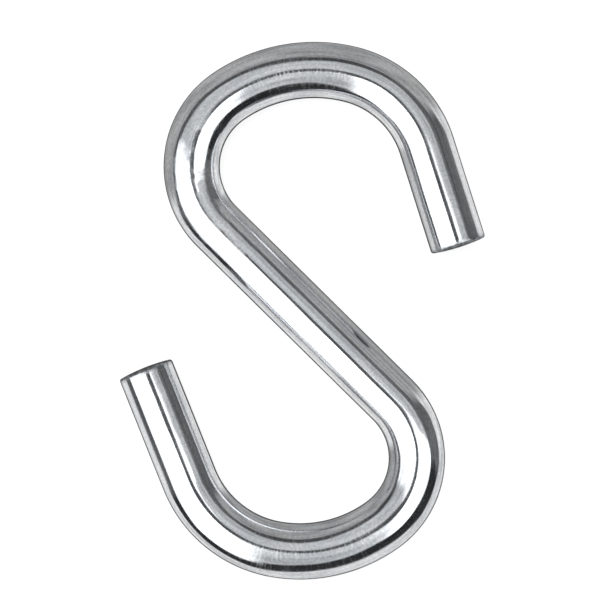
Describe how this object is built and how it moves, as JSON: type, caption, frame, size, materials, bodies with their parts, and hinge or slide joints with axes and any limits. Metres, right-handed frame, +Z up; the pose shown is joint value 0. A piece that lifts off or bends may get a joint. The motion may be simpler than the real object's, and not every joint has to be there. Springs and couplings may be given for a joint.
{
  "type": "ceiling fan hook",
  "caption": "S-shaped hook bent from round steel rod: its upper bend hangs from a ceiling eye and its lower bend carries the fan's hanger.",
  "frame": {"origin": "middle of the hook's outline, on the surface that it lies on", "axes": "+Z up from that surface, +Y along the load line from the lower hook to the upper one, +X to the right as seen from above, where the rod reads as an S"},
  "size_m": [0.0516, 0.0762, 0.008],
  "materials": {
    "bright_zinc": "bright zinc plating over drawn steel rod, mirror-like with faint draw lines"
  },
  "bodies": {
    "root": {"s_hook": "bright_zinc"}
  },
  "joints": []
}
